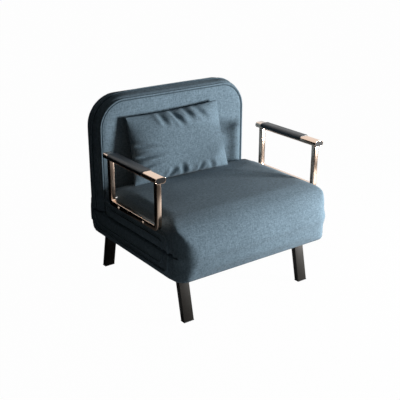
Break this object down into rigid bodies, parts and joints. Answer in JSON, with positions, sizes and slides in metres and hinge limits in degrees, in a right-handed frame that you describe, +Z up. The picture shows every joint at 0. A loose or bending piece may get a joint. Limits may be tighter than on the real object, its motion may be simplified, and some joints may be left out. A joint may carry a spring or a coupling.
{
  "type": "convertible chair bed",
  "caption": "Upholstered lounge chair with metal loop armrests and a loose pillow that opens into a flat single bed.",
  "frame": {"origin": "on the floor, under the centre of the chair's bounding box", "axes": "+Z up, front of the chair towards -Y, +X to the right of a viewer in front of it"},
  "size_m": [0.83, 0.714, 0.784],
  "materials": {
    "upholstery_fabric": "heathered slate-blue weave",
    "foam": "open-cell foam",
    "black_cloth": "thin non-woven cloth",
    "rose_gold_metal": "polished rose-gold plating",
    "dark_pad": "smooth dark leather",
    "bronze_black_paint": "satin bronze-black",
    "black_plastic": "matte",
    "black_rubber": "matte",
    "frame_paint": "black powder coat",
    "zinc_steel": "zinc plated",
    "bright_steel": "polished",
    "spring_wire": "oiled"
  },
  "bodies": {
    "base": {"base_frame": "frame_paint", "base_springs": "spring_wire", "base_foam": "foam", "base_cover": "upholstery_fabric", "dust_cover": "black_cloth", "front_left_leg": "bronze_black_paint", "front_right_leg": "bronze_black_paint", "rear_left_leg": "bronze_black_paint", "rear_right_leg": "bronze_black_paint", "leg_plates": "bronze_black_paint", "leg_bolts": "zinc_steel", "leg_glides": "black_plastic", "front_hinge_base_leaves": "zinc_steel", "front_hinge_pins": "bright_steel", "recliner_brackets": "zinc_steel", "pawl_pins": "bright_steel"},
    "seat_section": {"seat_frame": "frame_paint", "seat_springs": "spring_wire", "seat_top_foam": "foam", "seat_under_foam": "foam", "seat_cover": "upholstery_fabric", "front_hinge_seat_leaves": "zinc_steel", "left_arm_frame": "rose_gold_metal", "right_arm_frame": "rose_gold_metal", "left_arm_rail": "rose_gold_metal", "right_arm_rail": "rose_gold_metal", "left_arm_pad": "dark_pad", "right_arm_pad": "dark_pad", "rail_end_caps": "black_plastic", "arm_spacers": "zinc_steel", "arm_bolts": "bright_steel", "arm_stop_pins": "bright_steel"},
    "backrest": {"back_frame": "frame_paint", "back_springs": "spring_wire", "back_front_foam": "foam", "back_rear_foam": "foam", "back_cover": "upholstery_fabric", "recliner_sectors": "zinc_steel", "recliner_pins": "bright_steel", "head_leg_brackets": "frame_paint", "head_leg_pins": "bright_steel", "bracket_screws": "zinc_steel"},
    "head_leg": {"head_leg": "frame_paint", "head_leg_sleeves": "black_rubber"},
    "left_pawl": {"left_pawl": "zinc_steel"},
    "right_pawl": {"right_pawl": "zinc_steel"},
    "pillow": {"lumbar_pillow": "upholstery_fabric"}
  },
  "joints": [
    {"name": "seat_flip", "type": "hinge", "parent": "base", "child": "seat_section", "pos_m": [0, -0.352, 0.3], "axis": [1, 0, 0], "range_deg": [0, 180], "deforming": ["lumbar_pillow"]},
    {"name": "back_recline", "type": "hinge", "parent": "base", "child": "backrest", "pos_m": [0, 0.286, 0.246], "axis": [-1, 0, 0], "range_deg": [0, 90]},
    {"name": "head_leg_fold", "type": "hinge", "parent": "backrest", "child": "head_leg", "pos_m": [0, 0.345, 0.72], "axis": [1, 0, 0], "range_deg": [0, 90]},
    {"name": "left_pawl_lift", "type": "hinge", "parent": "base", "child": "left_pawl", "pos_m": [-0.3155, 0.258, 0.2475], "axis": [1, 0, 0], "range_deg": [0, 12], "stiffness_Nm_per_rad": 0.02, "springref_deg": -11.46},
    {"name": "right_pawl_lift", "type": "hinge", "parent": "base", "child": "right_pawl", "pos_m": [0.3155, 0.258, 0.2475], "axis": [1, 0, 0], "range_deg": [0, 12], "stiffness_Nm_per_rad": 0.02, "springref_deg": -11.46},
    {"name": "pillow_slide", "type": "slide", "parent": "backrest", "child": "pillow", "axis": [0, 0, 1], "range_m": [0, 0.14]}
  ]
}
